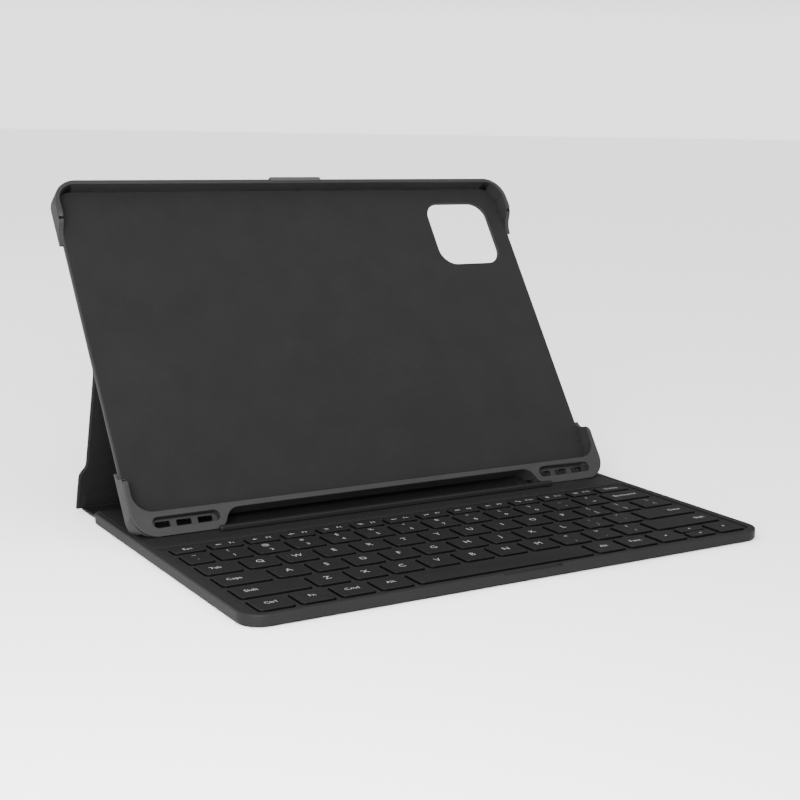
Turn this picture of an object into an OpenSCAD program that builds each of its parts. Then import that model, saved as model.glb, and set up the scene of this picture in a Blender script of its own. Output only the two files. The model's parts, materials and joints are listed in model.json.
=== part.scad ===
// Tablet keyboard case: a slim keyboard base, a soft hinge strip, a folding
// stand panel and an open tray that holds the tablet.
// Millimetres. X runs left to right, Y front to back, Z up from the table.
// The case stands in its typing position, centred on the Z axis.

/* [Keyboard base] */
// Width of the keyboard base
base_w = 287; // [284:0.5:290]
// Depth of the base from front to back
base_d = 181; // [178:0.5:184]
// Height of the top of the base above the table
base_h = 6; // [6:0.1:6.6]
// Radius of the two front corners seen from above
front_r = 11; // [8:0.5:14]
// Thickness of the side walls of the upper case
wall = 1.6; // [1.4:0.1:1.8]
// Width of the thumb notch in the front edge
notch_w = 33; // [26:1:40]

/* [Keys] */
// Width of a letter key
key_w = 16.16; // [15.8:0.02:16.2]
// Gap between neighbouring keys
key_gap = 3; // [2.8:0.1:3]
// Distance from one row of keys to the next
row_pitch = 17.98; // [17.9:0.02:18.1]
// Depth of a key in the function row
f_key_d = 9; // [8:0.1:9]
// Corner radius of a key cap
key_r = 2; // [1.5:0.1:2.2]
// How far a key travels when it is pressed
key_travel = 1.1; // [0.9:0.05:1.2]

/* [Tray] */
// Width of the tray across its corners
tray_w = 285; // [283:0.5:287]
// Width of the pocket for the tablet
pocket_w = 280; // [279:0.5:280.5]
// Height of the pocket for the tablet
pocket_h = 185.6; // [183:0.2:188]
// Depth of the pocket behind the front rim
pocket_d = 7.9; // [7.6:0.1:8.2]
// Height of the two feet below the pocket
foot_h = 13.3; // [12.8:0.1:14]
// Lean of the tray back from upright, in degrees
lean = 35.25; // [34:0.25:37]
// Distance of the front of the feet from the front edge of the base
foot_y = 123.7; // [121:0.1:126]

/* [Stand] */
// Height of the stand pivot, measured along the back of the tray
pivot_v = 94; // [90:0.5:98]
// Distance of the bottom fold behind the front edge of the base
fold_y = 209; // [207:0.5:212]
// Thickness of the stand panel with both skins
stand_t = 2.4; // [2:0.1:2.4]

/* [Hidden] */
$fn = 48;
slip = 0.35;         // clearance around a key cap
touch = 0.3;         // air gap between pieces that move past each other
feet_t = 0.4;        // rubber feet
cover_t = 0.8;       // bottom cover
case_z = feet_t + cover_t;
field_drop = 0.7;    // the key field lies this much below the rim
field_z = base_h - field_drop;
field_t = 1;
cap_rise = key_travel;  // a pressed key cap lies level with the key field
cap_h = 2.5;
cap_top_t = 1;
cap_z = field_z + cap_rise - cap_h;
ledge_y = 107;       // back edge of the key field
leather_t = 0.5;     // where the hinge strip covers the rear deck
leather_y = 109;
leather_w = 281;
strip_t = 1.4;
rear_r = 2;

// Key rows from front to back. A width of 0 takes what is left of the row.
row_w = 270;
row0_y = 12.5;
key_d = row_pitch - key_gap;
f_row_gap = 2.8;
half_gap = 1.4;      // between the two half-height arrow keys
row_ys = [for (i = [0:4]) row0_y + i * row_pitch];
f_row_y = row_ys[4] + key_d / 2 + f_row_gap + f_key_d / 2;
wide = 16.3;
arrow_w = 15.9;

function plain(names) = [for (n = names) [n, key_w]];

ROWS = [
    [["ctrl", 16.7], ["fn", wide], ["cmd", wide], ["alt_left", wide],
     ["space", 96.2], ["alt_right", wide], ["func", 17],
     ["left", arrow_w], ["up_down", arrow_w], ["right", 0]],
    concat([["shift_left", 33.8]], plain("zxcvbnm"),
           plain(["comma", "period", "slash"]), [["shift_right", 0]]),
    concat([["caps", 23.9]], plain("asdfghjkl"),
           plain(["semicolon", "quote"]), [["enter", 0]]),
    concat([["tab", 18.4]], plain("qwertyuiop"),
           plain(["bracket_left", "bracket_right"]), [["backslash", 0]]),
    concat([["backtick", 12.5]], plain("1234567890"),
           plain(["minus", "equals"]), [["backspace", 0]]),
    concat([["esc", 15.8]], [for (i = [1:12]) [str("f", i), wide]],
           [["delete", 0]]),
];

function width_before(row, i) = i == 0 ? 0 : row[i - 1][1] + key_gap + width_before(row, i - 1);
function width_at(row, i) = row[i][1] > 0 ? row[i][1] : row_w - width_before(row, i);
function centre_x(row, i) = -row_w / 2 + width_before(row, i) + width_at(row, i) / 2;
half_d = (key_d - half_gap) / 2;
half_step = (half_d + half_gap) / 2;

// Every key as [name, x, y, width, depth].
KEYS = [
    for (r = [0:5]) let (row = ROWS[r], y = r < 5 ? row_ys[r] : f_row_y)
    for (i = [0:len(row) - 1]) let (n = row[i][0], x = centre_x(row, i), w = width_at(row, i))
    each n == "up_down"
        ? [["up", x, y + half_step, w, half_d], ["down", x, y - half_step, w, half_d]]
        : [[n, x, y, w, r < 5 ? key_d : f_key_d]]
];

LETTERS = [for (c = "qwertyuiopasdfghjklzxcvbnm") c];
SINGLE_KEYS = concat(LETTERS,
    ["space", "enter", "backspace", "tab", "caps", "shift_left", "shift_right"]);
SYMBOLS = concat([for (c = "1234567890") c],
    ["backtick", "minus", "equals", "bracket_left", "bracket_right", "backslash",
     "semicolon", "quote", "comma", "period", "slash"]);
MODIFIERS = ["ctrl", "fn", "cmd", "alt_left", "alt_right", "func", "left", "up", "down", "right"];
F_KEYS = concat(["esc", "delete"], [for (i = [1:12]) str("f", i)]);

// Tray sizes, in the tray's own frame: x across, y up the tray, z towards the user.
tray_plate = 2;
lining_t = 0.6;
tray_t = pocket_d + lining_t + tray_plate;
top_rim = 2.4;
tray_len = foot_h + pocket_h + top_rim;
tray_r = 13;
foot_in = 101.5;     // inner end of each foot, from the middle
plate_lap = 0.5;
foot_z = base_h + touch;
plate_z = -tray_t;
lining_z = plate_z + tray_plate;

// The case is centred front to back: its rearmost edge is the top back edge of the tray.
full_d = foot_y + tray_len * sin(lean) + tray_t * cos(lean);

// The stand runs from the bottom fold to the pivot behind the tray.
fold_z = stand_t / 2 + 0.2;
pivot_w = tray_t + stand_t / 2 + touch;
pivot_y = foot_y + pivot_v * sin(lean) + pivot_w * cos(lean);
pivot_z = foot_z + pivot_v * cos(lean) - pivot_w * sin(lean);
stand_a = atan2(pivot_z - fold_z, pivot_y - fold_y);
stand_len = norm([pivot_z - fold_z, pivot_y - fold_y]);
board_t = 1;
skin_t = (stand_t - board_t) / 2;

// Whether a list holds a value.
function has(list, value) = len([for (a = list) if (a == value) a]) > 0;

// Two equal arcs from p to q that leave and arrive along the first axis.
function s_curve(p, q, steps = 7) =
    let (dx = q[0] - p[0], dy = q[1] - p[1],
         r = (dx * dx + dy * dy) / (4 * abs(dy)),
         sweep = asin(min(1, abs(dx) / (2 * r))),
         sx = sign(dx), sy = sign(dy))
    concat(
        [for (i = [0:steps]) let (a = sweep * i / steps)
            [p[0] + sx * r * sin(a), p[1] + sy * r * (1 - cos(a))]],
        [for (i = [steps - 1:-1:0]) let (a = sweep * i / steps)
            [q[0] - sx * r * sin(a), q[1] - sy * r * (1 - cos(a))]]);

module centred() { translate([0, -full_d / 2, 0]) children(); }
module tray_place() { translate([0, foot_y, foot_z]) rotate([90 - lean, 0, 0]) children(); }
module stand_place() { translate([0, fold_y, fold_z]) rotate([stand_a, 0, 0]) children(); }

// Extrudes a [y, z] outline across the case.
module across(w) { translate([-w / 2, 0, 0]) rotate([90, 0, 90]) linear_extrude(w) children(); }

// Rectangle centred on the origin with round corners.
module round_rect(w, d, r) {
    square([w - 2 * r, d], center = true);
    square([w, d - 2 * r], center = true);
    for (x = [-1, 1], y = [-1, 1])
        translate([x * (w / 2 - r), y * (d / 2 - r)]) circle(r);
}

// Rectangle from y = y0 to y1 with one radius in front and another behind.
module deck_rect(w, y0, y1, r_front, r_back) {
    translate([-w / 2 + r_front, y0]) square([w - 2 * r_front, r_front]);
    translate([-w / 2, y0 + r_front]) square([w, y1 - y0 - r_front - r_back]);
    translate([-w / 2 + r_back, y1 - r_back]) square([w - 2 * r_back, r_back]);
    for (s = [-1, 1]) {
        translate([s * (w / 2 - r_front), y0 + r_front]) circle(r_front);
        translate([s * (w / 2 - r_back), y1 - r_back]) circle(r_back);
    }
}

// ---- Keyboard base ----

field_w = 277.4;
field_front = 3;
screw_x = 138.6;
screw_ys = [14, 60, 104, 173];
port_y = 152;
switch_y = 130;
switch_throw = 3;
port_h = 3.2;
port_w = 9;
roof_z = base_h - leather_t - 0.9;   // underside of the rear deck
port_z = case_z + 0.1 + port_h / 2;
switch_z = 3.4;

module boss_places() {
    for (s = [-1, 1], y = screw_ys) translate([s * screw_x, y, 0]) children();
}

module key_openings() {
    for (k = KEYS)
        translate([k[1], k[2], field_z - field_t - 1]) linear_extrude(field_t + 2)
            round_rect(k[3] + 2 * slip, k[4] + 2 * slip, key_r + slip);
}

module case_cavity() {
    inner_w = base_w - 2 * wall;
    translate([0, 0, case_z - 1]) linear_extrude(field_z - field_t - case_z + 1)
        deck_rect(inner_w, wall, ledge_y + 1.6, front_r - wall, 1);
    translate([0, 0, case_z - 1]) linear_extrude(roof_z - case_z + 1)
        deck_rect(inner_w, ledge_y, base_d - wall, 1, 1);
}

module top_case() color("#3a3a3c") centred() {
    difference() {
        translate([0, 0, case_z]) linear_extrude(base_h - case_z)
            deck_rect(base_w, 0, base_d, front_r, rear_r);
        case_cavity();
        translate([0, 0, field_z]) linear_extrude(2)
            deck_rect(field_w, field_front, ledge_y, 7, 1.5);
        key_openings();
        translate([-leather_w / 2 - 0.05, leather_y - 0.05, base_h - leather_t])
            cube([leather_w + 0.1, base_d, 2]);
        translate([-notch_w / 2, -1, base_h - 1.1]) cube([notch_w, 3, 3]);
        translate([base_w / 2 - wall - 1, port_y, port_z]) rotate([90, 0, 90])
            linear_extrude(wall + 2) round_rect(port_w + 0.2, port_h + 0.2, 1.6);
        translate([base_w / 2 - wall - 1, switch_y, switch_z]) rotate([90, 0, 90])
            linear_extrude(wall + 2) round_rect(5 + switch_throw + 0.8, 1.9, 0.5);
    }
    difference() {
        boss_places() translate([0, 0, case_z]) cylinder(r = 1.8, h = roof_z - case_z);
        boss_places() cylinder(r = 0.7, h = field_z - field_t - 0.5);
    }
}

module bottom_cover() color("#2c2c2e") centred() {
    difference() {
        translate([0, 0, feet_t]) linear_extrude(cover_t)
            deck_rect(base_w - 1, 0.5, base_d - 0.5, front_r - 0.5, rear_r - 0.5);
        boss_places() cylinder(r = 0.8, h = 4);
        boss_places() cylinder(r = 1.6, h = feet_t + 0.5);
    }
}

module rubber_feet() color("#161616") centred() {
    for (x = [-105, 105], y = [10, base_d - 12])
        translate([x, y, 0]) linear_extrude(feet_t) round_rect(34, 7, 3.4);
}

module case_screws() color("#8a8a8e") centred() {
    boss_places() difference() {
        union() {
            translate([0, 0, feet_t + 0.05]) cylinder(r = 1.4, h = 0.45);
            translate([0, 0, feet_t + 0.5]) cylinder(r = 0.6, h = 2.2);
        }
        translate([-0.9, -0.15, 0]) cube([1.8, 0.3, feet_t + 0.25]);
        translate([-0.15, -0.9, 0]) cube([0.3, 1.8, feet_t + 0.25]);
    }
}

plate_w = 272;
plate_front = 4;
plate_d = 99;
sheet_z = case_z + 0.5;

module support_plate() color("#9a9ca0") centred() {
    translate([0, plate_front + plate_d / 2, case_z + 0.05]) linear_extrude(0.45)
        round_rect(plate_w, plate_d, 3);
}

module dome_sheet() color("#d8d4c8") centred() {
    translate([0, plate_front + plate_d / 2, sheet_z]) linear_extrude(0.25)
        round_rect(plate_w, plate_d, 3);
    for (k = KEYS) translate([k[1], k[2], sheet_z + 0.2]) cylinder(r = 1.9, h = 1.8);
}

module scissor_frames() color("#e6e6e2") centred() {
    for (k = KEYS) {
        frame_w = min(11, k[3] - 4.4);
        frame_d = min(9.4, k[4] - 2.4);
        translate([k[1], k[2], sheet_z + 0.25]) linear_extrude(0.7) difference() {
            square([frame_w, frame_d], center = true);
            circle(r = 2);
            square([frame_w - 2.4, min(frame_d - 1.6, 6)], center = true);
        }
    }
}

module battery() color("#b9bcc2") centred() {
    translate([-45, 156, case_z + 0.05]) linear_extrude(3) round_rect(150, 36, 2);
    translate([31, 154, case_z + 0.05]) cube([3, 10, 2]);
}

module controller_board() color("#1d5a3a") centred() {
    board_x = 84;
    translate([board_x, 140, case_z + 0.3]) cube([50, 30, 0.8]);
    for (c = [[12, 14, 9], [30, 20, 7], [40, 8, 5]])
        translate([board_x + c[0], 140 + c[1], case_z + 1.1]) linear_extrude(1)
            square(c[2], center = true);
}

module charge_port() color("#a8aaae") centred() {
    translate([base_w / 2 - 7.4, port_y, port_z]) rotate([90, 0, 90]) difference() {
        linear_extrude(7.2) round_rect(port_w, port_h, 1.5);
        translate([0, 0, 1]) linear_extrude(8) round_rect(port_w - 0.7, port_h - 0.7, 1.15);
    }
    translate([base_w / 2 - 6.4, port_y - 3, port_z - 0.35]) cube([5, 6, 0.7]);
}

module power_switch() color("#555558") centred() {
    translate([base_w / 2 - wall, switch_y - switch_throw / 2, switch_z]) {
        rotate([90, 0, 90]) linear_extrude(wall + 0.5) round_rect(5, 1.4, 0.4);
        translate([-0.3 - 0.9, -3.5, -0.9]) cube([0.9, 7, 1.8]);
        translate([-0.4, -2, -0.6]) cube([0.5, 4, 1.2]);
    }
}

module base_magnets() color("#c4c6ca") centred() {
    for (i = [-2:2]) translate([i * 32, 129, 3.1]) linear_extrude(1.4)
        square([18, 6], center = true);
}

// The bar fills the width between the two feet of the tray and lies just in front of them.
module stop_bar() color("#2a2a2c") centred() {
    bar_d = 3.2;
    translate([0, foot_y - 0.9 - bar_d / 2, base_h]) linear_extrude(2.6)
        round_rect(2 * foot_in - 1, bar_d, 1.5);
}

// ---- Soft hinge strip ----

strip_end = fold_y - stand_t / 2 - 0.6;

module hinge_strip() color("#1b1b1c") centred() {
    top = s_curve([base_d, base_h], [base_d + 13, strip_t + 0.6]);
    under = s_curve([base_d + 12, 0.6], [base_d, base_h - strip_t]);
    across(leather_w) polygon(concat(
        [[leather_y, base_h - leather_t], [leather_y, base_h]], top,
        [[strip_end, strip_t + 0.6], [strip_end, 0.6]], under,
        [[base_d, base_h - leather_t]]));
}

// ---- Stand panel ----

stand_top_w = 280;
step_lo = 18;
step_hi = 27;

// Outline of the panel: full width near the fold, a little narrower above.
module stand_outline(inset) {
    foot_x = base_w / 2 - inset;
    top_x = stand_top_w / 2 - inset;
    side = [for (p = s_curve([step_lo, foot_x], [step_hi, top_x])) [p[1], p[0]]];
    last = len(side) - 1;
    polygon(concat(
        [[-foot_x, inset], [foot_x, inset]], side,
        [[top_x, stand_len - inset], [-top_x, stand_len - inset]],
        [for (i = [last:-1:0]) [-side[i][0], side[i][1]]]));
}

module stand_board() color("#6f6250") centred() stand_place() {
    translate([0, 0, -board_t / 2]) linear_extrude(board_t) stand_outline(3);
}

module stand_outer_skin() color("#202022") centred() stand_place() {
    translate([0, 0, -stand_t / 2]) linear_extrude(skin_t) stand_outline(0);
}

module stand_inner_skin() color("#262628") centred() stand_place() {
    translate([0, 0, board_t / 2]) linear_extrude(skin_t) stand_outline(0);
}

anchor_h = 26;

module anchor_panel() color("#202022") centred() tray_place() {
    translate([0, pivot_v + stand_t / 2 + touch + anchor_h / 2, -tray_t - 1.4])
        linear_extrude(1.4) round_rect(stand_top_w, anchor_h, 3);
}

// ---- Tray ----

module tray_outline() {
    lip_x = 86.5;
    lip_y = 10.4;
    left = s_curve([-foot_in, 0], [-lip_x, lip_y]);
    right = s_curve([lip_x, lip_y], [foot_in, 0]);
    difference() {
        translate([0, tray_len / 2]) round_rect(tray_w, tray_len, tray_r);
        polygon(concat([[-foot_in, -1]], left, right, [[foot_in, -1]]));
    }
}

module pocket_outline(grow) {
    translate([0, foot_h + pocket_h / 2])
        round_rect(pocket_w + 2 * grow, pocket_h + 2 * grow, 10 + grow);
}

camera_x = 108;
camera_y = foot_h + pocket_h - 31;
magnet_size = 14;

module magnet_places() {
    for (x = [-96, -32, 32, 96], y = [52, 118]) translate([x, y, 0]) children();
}

module tray_back() color("#4a4a4c") centred() tray_place() {
    difference() {
        translate([0, 0, plate_z]) linear_extrude(tray_plate) pocket_outline(plate_lap);
        translate([camera_x, camera_y, plate_z - 1]) linear_extrude(4) round_rect(42, 42, 10);
        magnet_places() translate([0, 0, lining_z - 1]) linear_extrude(2)
            square(magnet_size + 0.2, center = true);
    }
}

// Everything outside the pocket and the back plate, full height.
module tray_rim() {
    difference() {
        translate([0, 0, -tray_t]) linear_extrude(tray_t) tray_outline();
        translate([0, 0, lining_z]) linear_extrude(tray_t) pocket_outline(0);
        translate([0, 0, plate_z - 1]) linear_extrude(tray_plate + 1) pocket_outline(plate_lap);
        side_groove();
    }
}

// Shallow parting groove round the two sides, just behind the front face.
module side_groove() {
    groove_w = 0.45;
    groove_d = 0.4;
    translate([0, 0, -1.3]) linear_extrude(groove_w) difference() {
        for (s = [-1, 1]) translate([s * tray_w / 2, tray_len / 2])
            square([26, tray_len + 2], center = true);
        translate([0, tray_len / 2])
            round_rect(tray_w - 2 * groove_d, tray_len - 2 * groove_d, tray_r - groove_d);
    }
}

slot_x = 115;
slot_w = 35;
slot_v = 7.4;
slot_h = 5.6;
slot_d = 4.5;
web_t = 1.2;         // wall that holds the sound ports at the bottom of each slot

module foot_frame() color("#58585a") centred() {
    floor_y = foot_y + slot_v * sin(lean) + slot_d * cos(lean);
    floor_z = foot_z + slot_v * cos(lean) - slot_d * sin(lean);
    side = s_curve([28, 0], [38, lining_z]);
    difference() {
        tray_place() difference() {
            intersection() {
                tray_rim();
                across(tray_w + 2) polygon(concat([[-2, -tray_t], [-2, 0]], side, [[38, -tray_t]]));
            }
            for (s = [-1, 1]) translate([s * slot_x, slot_v, -slot_d])
                linear_extrude(slot_d + 1) round_rect(slot_w, slot_h, slot_h / 2 - 0.01);
            for (s = [-1, 1])
                translate([s * slot_x - slot_w / 2, slot_v + slot_h / 2 - 9, -tray_t - 1])
                cube([slot_w, 9, tray_t + 1 - slot_d - web_t]);
        }
        translate([-tray_w, foot_y - 20, foot_z - 20]) cube([2 * tray_w, 60, 20]);
        for (s = [-1, 1], i = [-1:1]) translate([s * slot_x + i * 11.2, floor_y - 1, floor_z])
            rotate([-90, 0, 0]) linear_extrude(20) round_rect(8, 2.8, 0.8);
    }
}

module top_frame() color("#58585a") centred() tray_place() {
    side = s_curve([184, 0], [167, lining_z]);
    intersection() {
        tray_rim();
        across(tray_w + 2) polygon(concat(
            [[tray_len + 2, -tray_t], [tray_len + 2, 0]], side, [[167, -tray_t]]));
    }
}

module tray_lining() color("#2e2e30") centred() tray_place() {
    difference() {
        translate([0, 0, lining_z]) linear_extrude(lining_t) pocket_outline(-0.3);
        translate([camera_x, camera_y, lining_z - 1]) linear_extrude(3) round_rect(43, 43, 10.5);
    }
}

// Finger tab that caps the middle of the top rim.
module latch_tab() color("#1c1c1e") centred() tray_place() {
    across(32) polygon([
        [tray_len - 1.3, 0], [tray_len - 1.3, 0.6], [tray_len + 1.2, 0.6],
        [tray_len + 1.2, -7], [tray_len, -7], [tray_len, 0]]);
}

module tray_magnets() color("#c4c6ca") centred() tray_place() {
    magnet_places() translate([0, 0, lining_z - 1]) linear_extrude(0.95)
        square(magnet_size, center = true);
}

// ---- Keys ----

module keycap(k) {
    translate([k[1], k[2], cap_z]) difference() {
        linear_extrude(cap_h) round_rect(k[3], k[4], key_r);
        translate([0, 0, -1]) linear_extrude(cap_h - cap_top_t + 1)
            square([k[3] - 2, k[4] - 2], center = true);
    }
}

module keys(names) color("#2b2b2d") centred() {
    for (k = KEYS) if (has(names, k[0])) keycap(k);
}

top_case();
bottom_cover();
rubber_feet();
case_screws();
support_plate();
dome_sheet();
scissor_frames();
battery();
controller_board();
charge_port();
power_switch();
base_magnets();
stop_bar();
hinge_strip();
stand_board();
stand_outer_skin();
stand_inner_skin();
anchor_panel();
tray_back();
foot_frame();
top_frame();
tray_lining();
latch_tab();
tray_magnets();
keys(SYMBOLS);  // number_and_symbol_keys
keys(F_KEYS);  // function_keys
keys(MODIFIERS);  // modifier_and_arrow_keys
for (k = SINGLE_KEYS) keys([k]);
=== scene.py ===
"""Looks of the tablet keyboard case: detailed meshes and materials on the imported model.

Everything is in metres in the model's own frame. Sizes are written in millimetres and
multiplied by MM. The pieces are the leather sheets, the keys with their legends, the
moulded base and tray, and the small inner parts.
"""

import json
import math

import bmesh
import bpy
from mathutils import Matrix, Vector, noise


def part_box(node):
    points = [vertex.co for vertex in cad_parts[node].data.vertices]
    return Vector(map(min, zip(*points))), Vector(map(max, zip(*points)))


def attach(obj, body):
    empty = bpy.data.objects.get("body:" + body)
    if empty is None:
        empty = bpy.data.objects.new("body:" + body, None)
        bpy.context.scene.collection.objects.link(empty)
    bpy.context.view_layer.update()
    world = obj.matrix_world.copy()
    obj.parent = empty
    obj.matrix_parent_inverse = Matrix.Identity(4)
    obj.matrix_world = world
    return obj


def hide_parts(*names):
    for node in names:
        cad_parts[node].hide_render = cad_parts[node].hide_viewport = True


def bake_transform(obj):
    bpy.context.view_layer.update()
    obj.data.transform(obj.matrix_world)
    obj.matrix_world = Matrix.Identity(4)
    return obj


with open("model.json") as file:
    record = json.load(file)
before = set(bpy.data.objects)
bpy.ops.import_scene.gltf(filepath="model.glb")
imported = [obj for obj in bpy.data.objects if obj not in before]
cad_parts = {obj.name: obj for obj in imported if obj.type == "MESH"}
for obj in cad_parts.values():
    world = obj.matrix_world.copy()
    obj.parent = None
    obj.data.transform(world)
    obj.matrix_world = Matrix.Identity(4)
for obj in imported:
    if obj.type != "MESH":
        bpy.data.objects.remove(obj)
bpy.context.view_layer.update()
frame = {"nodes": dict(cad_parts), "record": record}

MM = 0.001
WORLD_LIGHT = 2.3
PANEL_LIGHT = 0.1
PANEL_TURN = 50  # degrees from +Y towards +X
NODES = frame["nodes"]
RECORD = frame["record"]


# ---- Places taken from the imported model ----

BODY_OF = {node: body for body, nodes in RECORD["behaviour"]["bodies"].items() for node in nodes}
SLOT_OF = {part["node"]: part["material_slot"] for part in RECORD["subparts"]}
JOINTS = {joint["name"]: joint for joint in RECORD["behaviour"]["joints"]}
MOUNTS = {mount["name"]: mount for mount in RECORD["mounts"]}

case_lo, case_hi = (Vector(corner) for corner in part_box("top_case"))
foot_lo = Vector(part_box("foot_frame")[0])
fold = Vector(JOINTS["back_stand_fold"]["pos_m"])
pivot = Vector(JOINTS["back_tray_pivot"]["pos_m"])
seat_axis = Vector(MOUNTS["tablet_seat"]["axis"])
lean = math.atan2(seat_axis.z, -seat_axis.y)
stand_angle = math.atan2(pivot.z - fold.z, pivot.y - fold.y)
stand_len = (pivot - fold).length
tray_frame = Matrix.Translation((0, foot_lo.y, foot_lo.z)) @ Matrix.Rotation(
    math.pi / 2 - lean, 4, "X"
)


# ---- Camera, floor and light ----

CAMERA_PLACE = Vector((-382.15, -631.71, 202.55)) * MM
CAMERA_YAW, CAMERA_PITCH, CAMERA_ROLL = 31.34, 10.76, 1.08  # degrees
CAMERA_LENS = 65.3
FLOOR_REACH = 25.0
PANEL_SIDE = (0.3, 0.75)  # where the panel starts and is full, across
PANEL_HEIGHT = ((0.07, 0.17, 0, 1), (0.5, 0.9, 1, 0))  # and how it rises and fades upwards


def aim(obj, place, yaw, pitch, roll=0.0):
    """Puts obj at place and turns it to look along yaw, from +Y towards +X, and down by pitch."""
    forward = Vector(
        (math.sin(yaw) * math.cos(pitch), math.cos(yaw) * math.cos(pitch), -math.sin(pitch))
    )
    level = Vector((math.cos(yaw), -math.sin(yaw), 0))
    top = level.cross(forward)
    across = math.cos(roll) * level + math.sin(roll) * top
    up = math.cos(roll) * top - math.sin(roll) * level
    turn = Matrix((across, up, -forward)).transposed().to_4x4()
    obj.matrix_world = Matrix.Translation(place) @ turn


def make_camera():
    data = bpy.data.cameras.new("camera")
    data.sensor_width = 36
    data.lens = CAMERA_LENS
    data.clip_start = 0.01
    camera = bpy.data.objects.new("camera", data)
    bpy.context.collection.objects.link(camera)
    aim(
        camera,
        CAMERA_PLACE,
        math.radians(CAMERA_YAW),
        math.radians(CAMERA_PITCH),
        math.radians(CAMERA_ROLL),
    )
    bpy.context.scene.camera = camera


def area_light(name, place, target, size, power):
    """A square light of the given size in metres that faces target."""
    data = bpy.data.lights.new(name, "AREA")
    data.shape = "SQUARE"
    data.size = size
    data.energy = power
    light = bpy.data.objects.new(name, data)
    bpy.context.collection.objects.link(light)
    light.location = place
    light.rotation_euler = (Vector(target) - Vector(place)).to_track_quat("-Z", "Y").to_euler()


def make_world():
    """White all round, with a grey panel above the horizon at the back right."""
    world = bpy.data.worlds.new("studio")
    bpy.context.scene.world = world
    world.use_nodes = True
    tree = world.node_tree
    way = add(tree, "ShaderNodeTexCoord").outputs["Generated"]
    height = add(tree, "ShaderNodeSeparateXYZ", {0: way}).outputs["Z"]
    turn = math.radians(PANEL_TURN)
    ahead = (math.sin(turn), math.cos(turn), 0)
    side = add(tree, "ShaderNodeVectorMath", {0: way, 1: ahead}, operation="DOT_PRODUCT").outputs[1]
    shade = remap(tree, side, *PANEL_SIDE, 0, 1)
    for edge in PANEL_HEIGHT:
        share = remap(tree, height, *edge)
        shade = add(tree, "ShaderNodeMath", {0: shade, 1: share}, operation="MULTIPLY").outputs[0]
    strength = remap(tree, shade, 0, 1, WORLD_LIGHT, PANEL_LIGHT)
    sky = tree.nodes["Background"]
    sky.inputs["Color"].default_value = (1, 1, 1, 1)
    tree.links.new(strength, sky.inputs["Strength"])


def make_studio():
    make_world()
    area_light("front_left_light", (-0.47, -0.57, 0.32), (-0.05, -0.03, 0.03), 0.4, 17)
    area_light("front_light", (-0.2, -1.4, 0.6), (0, 0, 0.05), 0.8, 4)
    area_light("back_light", (-0.6, 1.3, 1.0), (0, 0, 0.08), 0.9, 6)

    mesh = bpy.data.meshes.new("floor")
    reach = FLOOR_REACH
    corners = [(-reach, -reach, 0), (reach, -reach, 0), (reach, reach, 0), (-reach, reach, 0)]
    mesh.from_pydata(corners, [], [(0, 1, 2, 3)])
    floor = bpy.data.objects.new("floor", mesh)
    bpy.context.collection.objects.link(floor)
    material = bpy.data.materials.new("floor_paint")
    material.use_nodes = True
    shader = material.node_tree.nodes["Principled BSDF"]
    shader.inputs["Base Color"].default_value = (0.95, 0.95, 0.95, 1)
    shader.inputs["Roughness"].default_value = 0.9
    shader.inputs["Specular IOR Level"].default_value = 0.0
    mesh.materials.append(material)


make_camera()


# ---- Materials ----


def add(tree, kind, inputs=None, **settings):
    """A new shader node with its settings, and its inputs set or linked."""
    node = tree.nodes.new(kind)
    for key, value in settings.items():
        setattr(node, key, value)
    for key, value in (inputs or {}).items():
        if isinstance(value, bpy.types.NodeSocket):
            tree.links.new(value, node.inputs[key])
        else:
            node.inputs[key].default_value = value
    return node


def noise_at(tree, where, size, detail=2.0):
    """Noise whose features are about size millimetres."""
    inputs = {"Vector": where, "Scale": 1 / (size * MM), "Detail": detail, "Roughness": 0.55}
    return add(tree, "ShaderNodeTexNoise", inputs).outputs["Fac"]


def cells_at(tree, where, size):
    """Distance to the cell borders of leather-like cells about size millimetres wide."""
    inputs = {"Vector": where, "Scale": 1 / (size * MM), "Randomness": 1.0}
    node = add(tree, "ShaderNodeTexVoronoi", inputs, feature="DISTANCE_TO_EDGE")
    return node.outputs["Distance"]


def remap(tree, value, low, high, out_low, out_high):
    inputs = {"Value": value, "From Min": low, "From Max": high}
    inputs.update({"To Min": out_low, "To Max": out_high})
    return add(tree, "ShaderNodeMapRange", inputs).outputs["Result"]


def blend_colours(tree, factor, low, high):
    """Mixes two colours, each an RGB tuple or a socket."""
    node = add(tree, "ShaderNodeMix", data_type="RGBA")
    for index, value in ((0, factor), (6, low), (7, high)):
        if isinstance(value, bpy.types.NodeSocket):
            tree.links.new(value, node.inputs[index])
        else:
            node.inputs[index].default_value = (*value, 1) if index else value
    return node.outputs[2]


def bump(tree, height, depth, normal=None):
    """A bump whose full height is depth millimetres."""
    inputs = {"Height": height, "Distance": depth * MM, "Strength": 1.0}
    if normal is not None:
        inputs["Normal"] = normal
    return add(tree, "ShaderNodeBump", inputs).outputs["Normal"]


def scaled(colour, factor):
    return tuple(min(1.0, channel * factor) for channel in colour)


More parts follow.
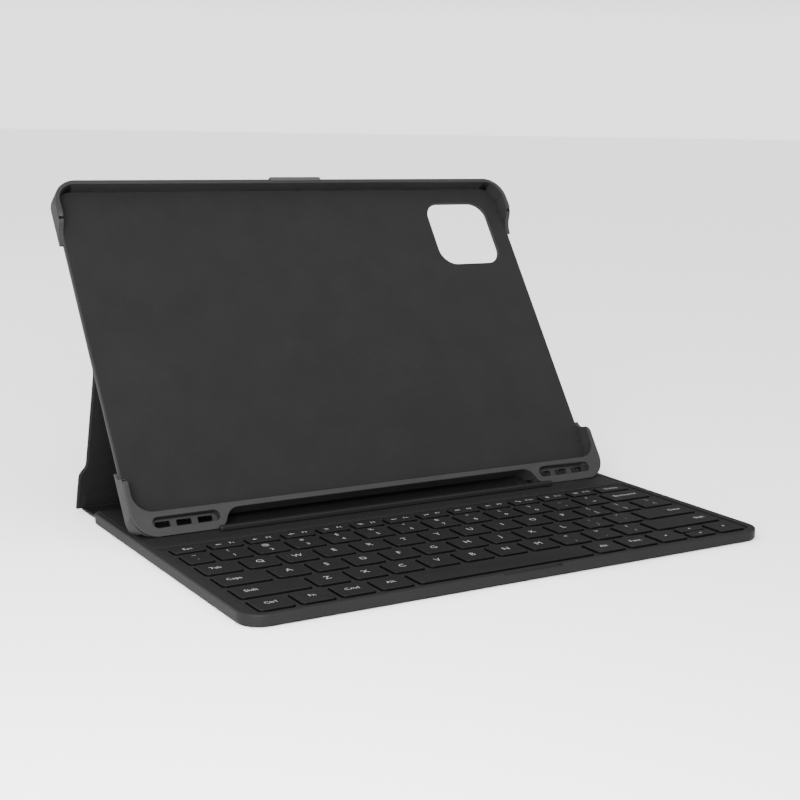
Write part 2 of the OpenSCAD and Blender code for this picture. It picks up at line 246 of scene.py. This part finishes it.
def surface(
    name,
    colour,
    rough,
    grain=0.3,
    grain_depth=0.01,
    cells=0.0,
    cell_depth=0.0,
    spread=0.1,
    wear_and_highlight=1.0,
    stretch=(1, 1, 1),
    **constants,
):
    """A finish with broad colour variation, a fine grain, leather cells and lighter convex edges,
    which are partly edge wear and partly a painted highlight.

    constants are plain values of the shader, such as metallic or sheen_weight.
    """
    material = bpy.data.materials.new(name)
    material.use_nodes = True
    tree = material.node_tree
    shader = tree.nodes["Principled BSDF"]
    place = add(tree, "ShaderNodeTexCoord").outputs["Object"]
    grain_place = add(tree, "ShaderNodeMapping", {"Vector": place, "Scale": stretch}).outputs[0]
    broad = noise_at(tree, place, 22, 4)
    fine = noise_at(tree, grain_place, grain, 3)

    paint = blend_colours(
        tree,
        remap(tree, broad, 0.3, 0.7, 0, 1),
        scaled(colour, 1 - spread),
        scaled(colour, 1 + spread),
    )
    rough_value = remap(tree, fine, 0.3, 0.7, rough - 0.05, min(1.0, rough + 0.05))
    normal = bump(tree, fine, grain_depth)
    if cells:
        border = cells_at(tree, grain_place, cells)
        pore = remap(tree, border, 0.0, 0.28, 0, 1)
        normal = bump(tree, pore, cell_depth, normal)
        paint = blend_colours(tree, remap(tree, pore, 0, 1, 0.45, 0), paint, scaled(colour, 0.55))
    # Convex edges are painted lighter in patches: partly edge wear, partly a painted highlight
    # along the edges.
    if wear_and_highlight > 1.0:
        corner = add(tree, "ShaderNodeNewGeometry").outputs["Pointiness"]
        patches = noise_at(tree, place, 3, 3)
        edge = remap(tree, corner, 0.52, 0.6, 0, 1)
        rubbed_and_highlight = add(tree, "ShaderNodeMath", {0: edge, 1: patches}, operation="MULTIPLY").outputs[0]
        paint = blend_colours(tree, rubbed_and_highlight, paint, scaled(colour, wear_and_highlight))
    tree.links.new(paint, shader.inputs["Base Color"])
    tree.links.new(rough_value, shader.inputs["Roughness"])
    tree.links.new(normal, shader.inputs["Normal"])
    for key, value in constants.items():
        shader.inputs[key.replace("_", " ").title().replace("Ior", "IOR")].default_value = value
    return material


make_studio()

LOOKS = {
    "case_plastic": surface(
        "case_plastic",
        (0.0052, 0.0052, 0.0055),
        0.6,
        0.35,
        0.012,
        wear_and_highlight=1.5,
        specular_ior_level=0.12,
    ),
    "cover_plastic": surface(
        "cover_plastic",
        (0.006, 0.006, 0.0063),
        0.65,
        0.35,
        0.014,
        wear_and_highlight=1.4,
        specular_ior_level=0.12,
    ),
    "key_plastic": surface(
        "key_plastic", (0.0042, 0.0042, 0.0044), 0.6, 0.28, 0.01, wear_and_highlight=1.6, specular_ior_level=0.1
    ),
    "tray_plastic": surface(
        "tray_plastic", (0.013, 0.013, 0.0133), 0.6, 0.3, 0.012, wear_and_highlight=1.4, specular_ior_level=0.15
    ),
    "bar_plastic": surface(
        "bar_plastic", (0.004, 0.004, 0.0041), 0.55, 0.4, 0.008, wear_and_highlight=1.4, specular_ior_level=0.12
    ),
    "tab_plastic": surface(
        "tab_plastic", (0.02, 0.02, 0.021), 0.5, 0.3, 0.008, wear_and_highlight=1.5, specular_ior_level=0.35
    ),
    "switch_plastic": surface("switch_plastic", (0.1, 0.1, 0.105), 0.45, 0.3, 0.006, wear_and_highlight=1.4),
    "scissor_plastic": surface("scissor_plastic", (0.7, 0.7, 0.67), 0.4, 0.5, 0.004),
    "soft_leather": surface(
        "soft_leather",
        (0.0058, 0.0058, 0.006),
        0.6,
        0.22,
        0.012,
        cells=0.95,
        cell_depth=0.05,
        wear_and_highlight=1.6,
        specular_ior_level=0.1,
    ),
    "lining_fabric": surface(
        "lining_fabric",
        (0.0065, 0.0065, 0.0068),
        0.9,
        0.16,
        0.05,
        cells=0.5,
        cell_depth=0.03,
        spread=0.12,
        stretch=(1, 0.35, 0.35),
        specular_ior_level=0.1,
        sheen_weight=0.06,
        sheen_roughness=0.5,
    ),
    "rubber": surface("rubber", (0.018, 0.018, 0.018), 0.85, 0.5, 0.02, specular_ior_level=0.2),
    "silicone": surface("silicone", (0.7, 0.68, 0.62), 0.5, 0.6, 0.01, subsurface_weight=0.1),
    "screw_steel": surface("screw_steel", (0.45, 0.45, 0.46), 0.35, 0.15, 0.004, metallic=1.0),
    "plate_steel": surface(
        "plate_steel", (0.5, 0.5, 0.52), 0.38, 0.2, 0.004, stretch=(0.05, 1, 1), metallic=1.0
    ),
    "port_metal": surface("port_metal", (0.5, 0.5, 0.52), 0.3, 0.2, 0.003, metallic=1.0),
    "magnet": surface("magnet", (0.62, 0.61, 0.58), 0.2, 0.4, 0.002, metallic=1.0),
    "cell_foil": surface("cell_foil", (0.6, 0.6, 0.62), 0.4, 2.5, 0.05, metallic=0.9),
    "circuit_board": surface(
        "circuit_board", (0.02, 0.14, 0.06), 0.3, 0.8, 0.01, cells=1.2, cell_depth=0.02
    ),
    "stiffener": surface("stiffener", (0.2, 0.16, 0.11), 0.85, 0.25, 0.02, stretch=(0.2, 1, 1)),
}
# Near-black painted shade for the keys' side walls: it stands in for the shade that falls on the
# walls beside each raised cap.
KEY_SIDE_SHADE = surface("key_side_painted_shade", (0.0015, 0.0015, 0.0016), 0.5, 0.3, 0.004, specular_ior_level=0.05)
# Near-black painted shade for the faces inside the tray's parting groove, standing in for the shade
# that falls in the groove.
GROOVE_SHADE = surface("groove_painted_shade", (0.002, 0.002, 0.002), 0.7, 0.3, 0.004, specular_ior_level=0.05)
INK = surface("legend_ink", (0.18, 0.18, 0.18), 0.55, 0.2, 0.003, spread=0.05)


# ---- Mesh helpers ----

SHARP_TURN = 40  # degrees: edges that turn by more are shaded sharp
ROUNDED_TURN = 38  # degrees: convex edges that turn by more can be rounded


def finish_piece(name, bm, body, slot, replaced=(), materials=None):
    """Turns bm into a shown piece that rides on body, unless body is None."""
    bmesh.ops.recalc_face_normals(bm, faces=bm.faces)
    mesh = bpy.data.meshes.new(name)
    bm.to_mesh(mesh)
    bm.free()
    for polygon in mesh.polygons:
        polygon.use_smooth = True
    mesh.set_sharp_from_angle(angle=math.radians(SHARP_TURN))
    for material in materials or [LOOKS[slot]]:
        mesh.materials.append(material)
    piece = bpy.data.objects.new(name, mesh)
    bpy.context.collection.objects.link(piece)
    weighted = piece.modifiers.new("flat_face_normals", "WEIGHTED_NORMAL")
    weighted.keep_sharp = True
    if replaced:
        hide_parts(*replaced)
    if body:
        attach(piece, body)
    return piece


def cad_mesh(node):
    """The node's mesh with its flat faces whole again."""
    bm = bmesh.new()
    bm.from_mesh(NODES[node].data)
    bmesh.ops.remove_doubles(bm, verts=bm.verts, dist=0.002 * MM)
    bmesh.ops.dissolve_limit(
        bm, angle_limit=math.radians(0.6), verts=bm.verts, edges=bm.edges
    )
    return bm


def outer_edges(bm):
    """Convex edges that turn by more than ROUNDED_TURN degrees."""
    return [
        edge
        for edge in bm.edges
        if edge.is_manifold
        and edge.is_convex
        and edge.calc_face_angle() > math.radians(ROUNDED_TURN)
    ]


def round_edges(bm, edges, radius, segments=3):
    """Rounds the edges with a radius in millimetres."""
    if edges:
        bmesh.ops.bevel(
            bm,
            geom=edges,
            offset=radius * MM,
            offset_type="OFFSET",
            segments=segments,
            profile=0.5,
            affect="EDGES",
            clamp_overlap=False,
            loop_slide=True,
        )


def refined(node, *passes, painted_shade_test=None):
    """The CAD node with its outer edges rounded. A pass is (radius, segments, test or None).

    Faces that pass the shade test get a near-black painted shade, which stands in for the shade
    inside a groove.
    """
    bm = cad_mesh(node)
    for radius, segments, test in passes:
        edges = [edge for edge in outer_edges(bm) if test is None or test(edge)]
        round_edges(bm, edges, radius, segments)
    slot = SLOT_OF[node]
    materials = [LOOKS[slot]]
    if painted_shade_test:
        materials.append(GROOVE_SHADE)
        for face in bm.faces:
            if painted_shade_test(face):
                face.material_index = 1
    return finish_piece(node + "_detail", bm, BODY_OF[node], slot, [node], materials)


def prism(bm, outline, z_low, z_high, material_index=0):
    """A closed solid over an outline of (x, y) points."""
    low = [bm.verts.new((x, y, z_low)) for x, y in outline]
    high = [bm.verts.new((x, y, z_high)) for x, y in outline]
    faces = [bm.faces.new(low[::-1]), bm.faces.new(high)]
    count = len(outline)
    for i in range(count):
        j = (i + 1) % count
        faces.append(bm.faces.new((low[i], low[j], high[j], high[i])))
    for face in faces:
        face.material_index = material_index


def s_curve(start, end, steps=7):
    """Two equal arcs from start to end that leave and arrive along the first axis."""
    dx, dy = end[0] - start[0], end[1] - start[1]
    radius = (dx * dx + dy * dy) / (4 * abs(dy))
    sweep = math.asin(min(1.0, abs(dx) / (2 * radius)))
    sx, sy = math.copysign(1, dx), math.copysign(1, dy)
    turns = [sweep * i / steps for i in range(steps + 1)]
    first = [
        (start[0] + sx * radius * math.sin(a), start[1] + sy * radius * (1 - math.cos(a)))
        for a in turns
    ]
    second = [
        (end[0] - sx * radius * math.sin(a), end[1] - sy * radius * (1 - math.cos(a)))
        for a in turns[-2::-1]
    ]
    return first + second


# ---- Keyboard base ----

RIM_DEPTH = 11 * MM
NOTCH_HALF_W = 16.6 * MM
OUTER_WALL_REACH = 70 * MM  # from the model's origin
WALL_TILT = 0.2  # upward share of a face's normal, below which it is a wall


def edge_mid(edge):
    return (edge.verts[0].co + edge.verts[1].co) / 2


def at_height(z):
    """A test for level edges at a height in metres."""
    return lambda edge: all(abs(vert.co.z - z) < 0.01 * MM for vert in edge.verts)


def make_base():
    top = case_hi.z

    def on_rim(edge):
        """The top edge of the outer wall, at the sides and at the front beside the notch."""
        middle = edge_mid(edge)
        side = abs(middle.x) > case_hi.x - 0.3 * MM
        front = middle.y < case_lo.y + RIM_DEPTH and abs(middle.x) > NOTCH_HALF_W
        walls = [face for face in edge.link_faces if abs(face.normal.z) < WALL_TILT]
        outer = any(face.calc_center_median().length > OUTER_WALL_REACH for face in walls)
        outside = any(face.normal.dot(Vector((middle.x, middle.y, 0))) > 0 for face in walls)
        return at_height(top)(edge) and (side or front) and outer and outside

    refined(
        "top_case",
        (0.85, 4, on_rim),
        (0.2, 2, at_height(top)),
        (0.12, 1, at_height(top - 0.7 * MM)),
        (0.25, 2, at_height(case_lo.z)),
    )
    refined("bottom_cover", (0.3, 3, None))
    refined("rubber_feet", (0.15, 2, None))
    refined("case_screws", (0.06, 2, None))
    refined("stop_bar", (0.7, 4, None))
    refined("power_switch", (0.12, 2, None))
    refined("charge_port", (0.05, 1, None))
    refined("battery", (0.5, 3, None))
    refined("base_magnets", (0.2, 2, None))
    refined("tray_magnets", (0.2, 2, None))
    refined("controller_board", (0.1, 1, None))
    refined("support_plate", (0.1, 1, None))
    refined("dome_sheet", (0.4, 2, at_height(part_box("dome_sheet")[1][2])))
    refined("scissor_frames", (0.12, 1, None))
    refined("stand_board", (0.2, 2, None))


make_base()


# ---- Tray ----


def make_tray():
    to_local = tray_frame.inverted()

    def places(edge):
        return [to_local @ vert.co for vert in edge.verts]

    def front(edge):
        return all(abs(place.z) < 0.02 * MM for place in places(edge))

    def in_groove(face):
        """A small face inside the parting groove along the side."""
        depth = (to_local @ face.calc_center_median()).z
        return -1.32 * MM < depth < -0.83 * MM and face.calc_area() < 40 * MM * MM

    def long_edge(edge):
        """An edge of the front face, or of the back face below the groove."""
        return front(edge) or all(place.z < -9 * MM for place in places(edge))

    # The faces inside the parting groove get the near-black painted shade, in place of the shade
    # that falls there.
    refined("foot_frame", (0.45, 3, long_edge), painted_shade_test=in_groove)
    refined("top_frame", (0.45, 3, long_edge), painted_shade_test=in_groove)
    refined("tray_back", (0.4, 3, None))
    refined("latch_tab", (0.5, 3, None))
    lining = refined("tray_lining", (0.2, 2, None))
    return lining


lining = make_tray()


# ---- Leather ----


def side_stations(half_width):
    """Distances from the middle across the case, closer together near the two edges."""
    near = [0.0, 0.12, 0.35, 0.7, 1.2, 1.7, 2.1, 2.5, 3.2, 5.0, 9.0]
    edge = [half_width - d * MM for d in near]
    middle = [edge[-1] * i / 18 for i in range(17, 0, -1)]
    right = edge + middle
    return [-x for x in right] + [0.0] + right[::-1]


def edge_share(distance, radius):
    """How thick a rounded border is at a distance from the edge, from 0 to 1."""
    if distance >= radius:
        return 1.0
    return math.sqrt(max(0.0, 1 - (1 - distance / radius) ** 2)) * 0.96 + 0.04


LINE_PLACE = 2.1 * MM
LINE_WIDTH = 0.45 * MM
LINE_DEPTH = 0.1 * MM


def press_line(distance):
    """Depth of the pressed line that runs along a border."""
    return LINE_DEPTH * math.exp(-(((distance - LINE_PLACE) / LINE_WIDTH) ** 2))


WAVINESS = 0.03 * MM


def leather(name, stations, body, replaced):
    """A closed leather sheet through stations of (upper point, lower point, half width).

    The points are (y, z) in metres on the two faces. The long borders are rounded, and
    the first and last stations are closed by the ends.
    """
    bm = bmesh.new()
    upper, lower = [], []
    for high, low, half_width in stations:
        middle = Vector(((high[0] + low[0]) / 2, (high[1] + low[1]) / 2))
        half = Vector(((high[0] - low[0]) / 2, (high[1] - low[1]) / 2))
        row_up, row_low = [], []
        for x in side_stations(half_width):
            distance = half_width - abs(x)
            share = edge_share(distance, min(1.2 * MM, half.length))
            wave = WAVINESS * noise.noise(Vector((x * 35, middle.x * 60, middle.y * 60)))
            size = max(0.0, half.length * share - press_line(distance))
            direction = half.normalized()
            up = middle + direction * (size + wave * share)
            down = middle - direction * (size - wave * share)
            row_up.append(bm.verts.new((x, up.x, up.y)))
            row_low.append(bm.verts.new((x, down.x, down.y)))
        upper.append(row_up)
        lower.append(row_low)
    rows, columns = len(upper), len(upper[0])
    for i in range(rows - 1):
        for j in range(columns - 1):
            for grid, flip in ((upper, False), (lower, True)):
                quad = [grid[i][j], grid[i][j + 1], grid[i + 1][j + 1], grid[i + 1][j]]
                bm.faces.new(quad[::-1] if flip else quad)
        for j in (0, columns - 1):
            bm.faces.new([upper[i][j], upper[i + 1][j], lower[i + 1][j], lower[i][j]])
    for i in (0, rows - 1):
        for j in range(columns - 1):
            bm.faces.new([upper[i][j], lower[i][j], lower[i][j + 1], upper[i][j + 1]])
    return finish_piece(name, bm, body, "soft_leather", replaced)


def end_steps(length):
    """Distances along a panel, close together at both rounded ends."""
    near = [0.0, 0.1, 0.3, 0.6, 1.0, 1.7, 2.1, 2.5, 3.3, 5.0]
    start = [d * MM for d in near]
    middle_count = 14
    inner = length - 2 * start[-1]
    middle = [start[-1] + inner * i / middle_count for i in range(1, middle_count)]
    return start + middle + [length - d for d in start[::-1]]


fold_y, fold_z = fold.y, fold.z
along = Vector((math.cos(stand_angle), math.sin(stand_angle)))
inward = Vector((-math.sin(stand_angle), math.cos(stand_angle)))
stand_half_t = 1.2 * MM
HEM = 0.18 * MM  # how far a sheet glued over the stand stands proud of it
strip_half_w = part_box("hinge_strip")[1][0]
stand_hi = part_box("stand_outer_skin")[1]


def stand_point(distance, offset):
    """(y, z) on the stand: distance up from the fold, offset towards the tray."""
    place = Vector((fold_y, fold_z)) + along * distance + inward * offset
    return (place.x, place.y)


def make_hinge():
    """Rear deck, drop behind the base, floor stretch, fold and hem on the stand."""
    deck_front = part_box("hinge_strip")[0][1]
    rear = case_hi.y
    top = case_hi.z
    deck_t = 0.5 * MM
    strip_t = 1.4 * MM
    ground = 0.6 * MM
    stations = []
    for step, share in ((0.0, 0.1), (0.12, 0.6), (0.4, 1.0)):
        y = deck_front + step * MM
        stations.append(((y, top - deck_t * (1 - share)), (y, top - deck_t), strip_half_w))
    deck_steps = 24
    for i in range(1, deck_steps + 1):
        y = deck_front + 0.4 * MM + (rear - deck_front - 0.4 * MM) * i / deck_steps
        stations.append(((y, top), (y, top - deck_t), strip_half_w))
    drop_top = s_curve((rear + 0.05 * MM, top), (rear + 13 * MM, ground + strip_t))
    drop_low = s_curve((rear + 0.05 * MM, top - strip_t), (rear + 12 * MM, ground))
    stations += [(high, low, strip_half_w) for high, low in zip(drop_top, drop_low)]
    floor_end = fold_y - 1.9 * MM
    floor_start = rear + 13 * MM
    for i in range(1, 7):
        y = floor_start + (floor_end - floor_start) * i / 6
        stations.append(((y, ground + strip_t), (y, ground), strip_half_w))
    centre = Vector((fold_y - 0.55 * MM, fold_z + 0.8 * MM))
    outer_r = 1.6 * MM
    crease = Vector((fold_y - 1.75 * MM, fold_z + 0.95 * MM))
    inner_r = 0.3 * MM
    turn_from, turn_to = -math.pi / 2, stand_angle - math.pi / 2
    turn_steps = 9
    for i in range(1, turn_steps + 1):
        a = turn_from + (turn_to - turn_from) * i / turn_steps
        way = Vector((math.cos(a), math.sin(a)))
        high = crease + way * inner_r
        low = centre + way * outer_r
        stations.append(((high.x, high.y), (low.x, low.y), strip_half_w))
    for distance in (2.2, 3.0, 4.5, 6.0, 6.8, 7.0):
        lift = stand_half_t + HEM * (1.0 if distance < 6.5 else 0.6)
        stations.append(
            (stand_point(distance * MM, lift), stand_point(distance * MM, -lift), strip_half_w)
        )
    piece = leather("hinge_leather", stations, None, ["hinge_strip"])
    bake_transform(piece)


def make_stand():
    """The wrapped panel, wider near the fold, with a pressed line along its border."""
    wide = stand_hi[0]
    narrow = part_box("anchor_panel")[1][0]
    step = s_curve((18 * MM, wide), (27 * MM, narrow))
    distances = sorted({round(d, 7) for d in end_steps(stand_len) + [p[0] for p in step]})

    def half_width(distance):
        if distance <= step[0][0]:
            return wide
        if distance >= step[-1][0]:
            return narrow
        for a, b in zip(step, step[1:]):
            if distance <= b[0]:
                return a[1] + (b[1] - a[1]) * (distance - a[0]) / (b[0] - a[0])
        return narrow

    stations = []
    for distance in distances:
        end = min(distance, stand_len - distance)
        size = stand_half_t * edge_share(end, 1.0 * MM) - press_line(end)
        stations.append(
            (
                stand_point(distance, size),
                stand_point(distance, -size),
                half_width(distance) - 0.5 * MM * (1 - edge_share(end, 1.0 * MM)),
            )
        )
    leather("stand_leather", stations, "stand", ["stand_outer_skin", "stand_inner_skin"])


def tray_point(v, w):
    """(y, z) on the tray: v up its front face, w towards the user."""
    place = tray_frame @ Vector((0, v, w))
    return (place.y, place.z)


def make_anchor():
    """Leather from the top of the stand, over the pivot, to the back of the tray."""
    to_local = tray_frame.inverted()
    panel = [to_local @ vert.co for vert in NODES["anchor_panel"].data.vertices]
    v_low = min(place.y for place in panel)
    v_high = max(place.y for place in panel)
    w_high = max(place.z for place in panel)
    w_low = min(place.z for place in panel)
    half_w = max(place.x for place in panel)
    stations = []
    for back in (6.0, 5.8, 5.2, 4.0, 2.6):
        lift = stand_half_t + HEM * (1.0 if back < 5.5 else 0.6)
        distance = stand_len - back * MM
        stations.append((stand_point(distance, lift), stand_point(distance, -lift), half_w))
    start_high, start_low, _ = stations[-1]
    end_high, end_low = tray_point(v_low + 2.5 * MM, w_high), tray_point(v_low + 2.5 * MM, w_low)
    up_tray = (tray_frame.to_3x3() @ Vector((0, 1, 0))).yz
    turn_steps = 9
    for i in range(1, turn_steps):
        t = i / turn_steps
        points = []
        for a, b in ((start_high, end_high), (start_low, end_low)):
            reach = math.dist(a, b)
            p0, p3 = Vector(a), Vector(b)
            p1, p2 = p0 + along * reach / 3, p3 - up_tray * reach / 3
            points.append(
                p0 * (1 - t) ** 3
                + 3 * p1 * t * (1 - t) ** 2
                + 3 * p2 * t * t * (1 - t)
                + p3 * t**3
            )
        stations.append(((points[0].x, points[0].y), (points[1].x, points[1].y), half_w))
    run = v_high - v_low - 2.5 * MM
    for back, share in ((run, 1), (run * 0.75, 1), (run * 0.5, 1), (run * 0.25, 1)) + tuple(
        (d * MM, edge_share(d * MM, 0.9 * MM)) for d in (2.5, 2.1, 1.7, 1.0, 0.6, 0.3, 0.1, 0.0)
    ):
        low = w_high + (w_low - w_high) * share + press_line(back)
        stations.append(
            (tray_point(v_high - back, w_high), tray_point(v_high - back, low), half_w)
        )
    piece = leather("anchor_leather", stations, None, ["anchor_panel"])
    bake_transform(piece)


make_hinge()
make_stand()
make_anchor()


# ---- Keys and their legends ----

INK_LOW = -0.03 * MM
INK_HIGH = 0.015 * MM


def islands(node):
    """(lowest corner, highest corner) of each separate solid of a node."""
    bm = bmesh.new()
    bm.from_mesh(NODES[node].data)
    bmesh.ops.remove_doubles(bm, verts=bm.verts, dist=0.002 * MM)
    left = set(bm.verts)
    found = []
    while left:
        queue = [left.pop()]
        group = []
        while queue:
            vert = queue.pop()
            group.append(vert.co.copy())
            for edge in vert.link_edges:
                other = edge.other_vert(vert)
                if other in left:
                    left.remove(other)
                    queue.append(other)
        low = Vector(min(co[i] for co in group) for i in range(3))
        high = Vector(max(co[i] for co in group) for i in range(3))
        found.append((low, high))
    bm.free()
    return found


def write(bm, text, place, size, align="CENTER"):
    """Thin raised lettering with its middle line through place."""
    curve = bpy.data.curves.new("lettering", "FONT")
    curve.body = text
    curve.size = size * MM
    curve.align_x = align
    curve.align_y = "CENTER"
    curve.resolution_u = 3
    curve.extrude = (INK_HIGH - INK_LOW) / 2
    writer = bpy.data.objects.new("lettering", curve)
    bpy.context.collection.objects.link(writer)
    bpy.context.view_layer.update()
    mesh = bpy.data.meshes.new_from_object(writer)
    mesh.transform(Matrix.Translation(place + Vector((0, 0, (INK_HIGH + INK_LOW) / 2))))
    mesh.polygons.foreach_set("material_index", [1] * len(mesh.polygons))
    bm.from_mesh(mesh)
    bpy.data.objects.remove(writer)
    bpy.data.curves.remove(curve)
    bpy.data.meshes.remove(mesh)


def shape(bm, place, points):
    """A thin raised shape from (x, y) points in millimetres about place."""
    outline = [(place.x + x * MM, place.y + y * MM) for x, y in points]
    prism(bm, outline, place.z + INK_LOW, place.z + INK_HIGH, 1)


def disc(x, y, r, steps=12):
    return [
        (x + r * math.cos(2 * math.pi * i / steps), y + r * math.sin(2 * math.pi * i / steps))
        for i in range(steps)
    ]


def bar(x, y, length, thick, degrees=0.0):
    c, s = math.cos(math.radians(degrees)), math.sin(math.radians(degrees))
    half = [(-length / 2, -thick / 2), (length / 2, -thick / 2), (length / 2, thick / 2)]
    half.append((-length / 2, thick / 2))
    return [(x + a * c - b * s, y + a * s + b * c) for a, b in half]


def triangle(x, y, size, degrees):
    """A triangle that points along degrees."""
    return [
        (
            x + size * math.cos(math.radians(degrees + turn)),
            y + size * math.sin(math.radians(degrees + turn)),
        )
        for turn in (0, 120, 240)
    ]


def frame_bars(x, y, w, h, thick=0.3):
    """Four bars around a rectangle."""
    return [
        bar(x, y - h / 2, w + thick, thick),
        bar(x, y + h / 2, w + thick, thick),
        bar(x - w / 2, y, h - thick, thick, 90),
        bar(x + w / 2, y, h - thick, thick, 90),
    ]


def sun(rays):
    turns = [360 * i / 8 for i in range(8)]
    return [disc(0, 0, 0.6)] + [
        bar(1.25 * math.cos(math.radians(a)), 1.25 * math.sin(math.radians(a)), rays, 0.25, a)
        for a in turns
    ]


SPEAKER = [(-1.2, -0.4), (-0.6, -0.4), (0.2, -1.0), (0.2, 1.0), (-0.6, 0.4), (-1.2, 0.4)]
ICONS = [
    [SPEAKER, bar(1.1, 0, 1.3, 0.3, 45), bar(1.1, 0.01, 1.3, 0.3, -45)],
    [SPEAKER, bar(0.9, 0, 0.9, 0.3, 90)],
    [SPEAKER, bar(0.8, 0, 0.9, 0.3, 90), bar(1.4, 0, 1.6, 0.3, 90)],
    sun(0.3),
    sun(0.7),
    [bar(-1.1, 0, 1.4, 0.3, 90), triangle(-0.3, 0, 0.8, 180), triangle(0.95, 0, 0.8, 180)],
    [triangle(-0.6, 0, 0.95, 0), bar(0.7, 0, 1.5, 0.35, 90), bar(1.3, 0, 1.5, 0.35, 90)],
    [bar(1.1, 0, 1.4, 0.3, 90), triangle(0.3, 0, 0.8, 0), triangle(-0.95, 0, 0.8, 0)],
    [*frame_bars(-0.2, 0.2, 1.3, 1.3), bar(0.85, -0.85, 0.8, 0.35, -45)],
    [*frame_bars(-0.4, 0.3, 1.4, 1.0), bar(0.6, -0.7, 1.5, 0.9)],
    [bar(0, -0.4, 1.8, 1.2), *frame_bars(0, 0.6, 1.0, 0.9)],
    [*frame_bars(0, 0, 2.4, 1.6), disc(0, 0, 0.45)],
]


def stacked(upper, lower):
    """Marks of a key that shows one symbol above another."""
    return [("text", upper, 0, 3.8, 3.9, "CENTER"), ("text", lower, 0, -3.5, 3.9, "CENTER")]


def word(text, x=0.0, align="CENTER", size=3.7):
    return [("text", text, x, 0, size, align)]


SYMBOL_ORDER = [
    *zip("~!@#$%^&*()_+", "`1234567890-="),
    *zip("{}|", "[]\\"),
    *zip(':"', ";'"),
    *zip("<>?", ",./"),
]
WORD_INSET = 4.6
TRIANGLE = 0.95


def single_marks(name, half_width):
    """Marks on a key that has a node of its own. half_width is in millimetres."""
    left, right = WORD_INSET - half_width, half_width - WORD_INSET
    words = {
        "key_space": [],
        "key_tab": word("Tab", left, "LEFT"),
        "key_caps": word("Caps", left, "LEFT"),
        "key_shift_left": word("Shift", left, "LEFT"),
        "key_shift_right": word("Shift", right, "RIGHT"),
        "key_enter": word("Enter", right, "RIGHT"),
        "key_backspace": word("Backspace"),
    }
    return words.get(name, word(name[-1].upper(), size=5.0))


def group_marks(name):
    """Marks of a group's keys, in the order that group_keys gives."""
    if name == "number_and_symbol_keys":
        return [stacked(upper, lower) for upper, lower in SYMBOL_ORDER]
    if name == "function_keys":
        numbered = [
            [("icon", icon, -3.6, 0), ("text", f"F{i + 1}", 3.6, 0, 3.0, "CENTER")]
            for i, icon in enumerate(ICONS)
        ]
        return [word("Esc"), *numbered, word("Delete", size=3.4)]
    arrows = [[("icon", [triangle(0, 0, TRIANGLE, a)], 0, 0)] for a in (180, 90, 270, 0)]
    words = ["Ctrl", "Fn", "Cmd", "Alt", "Alt", "Func"]
    return [word(text) for text in words] + arrows


def group_keys(name):
    """The boxes of a group's keys in reading order."""
    boxes = islands(name)
    if name == "modifier_and_arrow_keys":
        return sorted(boxes, key=lambda b: (round(b[0].x / MM), -b[0].y))
    return sorted(boxes, key=lambda b: (-round(b[0].y / MM), b[0].x))


def draw_marks(bm, low, high, marks):
    middle = Vector(((low.x + high.x) / 2, (low.y + high.y) / 2, high.z))
    for kind, what, x, y, *rest in marks:
        place = middle + Vector((x * MM, y * MM, 0))
        if kind == "text":
            write(bm, what, place, *rest)
        else:
            for points in what:
                shape(bm, place, points)


def make_key(node):
    """One key node: caps with rounded edges, near-black painted shade on their side walls, their
    legends and any homing bar.
    """
    bm = cad_mesh(node)
    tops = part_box(node)[1][2]
    round_edges(bm, [e for e in outer_edges(bm) if at_height(tops)(e)], 0.3, 3)
    # Every side wall gets the painted shade finish, a near-black stand-in for the shade beside the
    # raised caps.
    for face in bm.faces:
        if abs(face.normal.z) < WALL_TILT:
            face.material_index = 2
    if node in ("number_and_symbol_keys", "function_keys", "modifier_and_arrow_keys"):
        boxes = group_keys(node)
        marks = group_marks(node)
    else:
        low, high = (Vector(corner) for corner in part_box(node))
        boxes = [(low, high)]
        marks = [single_marks(node, (high.x - low.x) / 2 / MM)]
    if node in ("key_f", "key_j"):
        low, high = boxes[0]
        x, y = (low.x + high.x) / 2, low.y + 2.6 * MM
        half = 1.9 * MM
        outline = [(x - half, y), (x + half, y), (x + half, y + 0.5 * MM), (x - half, y + 0.5 * MM)]
        prism(bm, outline, high.z - 0.05 * MM, high.z + 0.25 * MM)
    for (low, high), key_marks in zip(boxes, marks, strict=True):
        draw_marks(bm, low, high, key_marks)
    slot = SLOT_OF[node]
    finish_piece(node + "_detail", bm, BODY_OF[node], slot, [node], [LOOKS[slot], INK, KEY_SIDE_SHADE])


for node in SLOT_OF:
    if SLOT_OF[node] == "key_plastic":
        make_key(node)
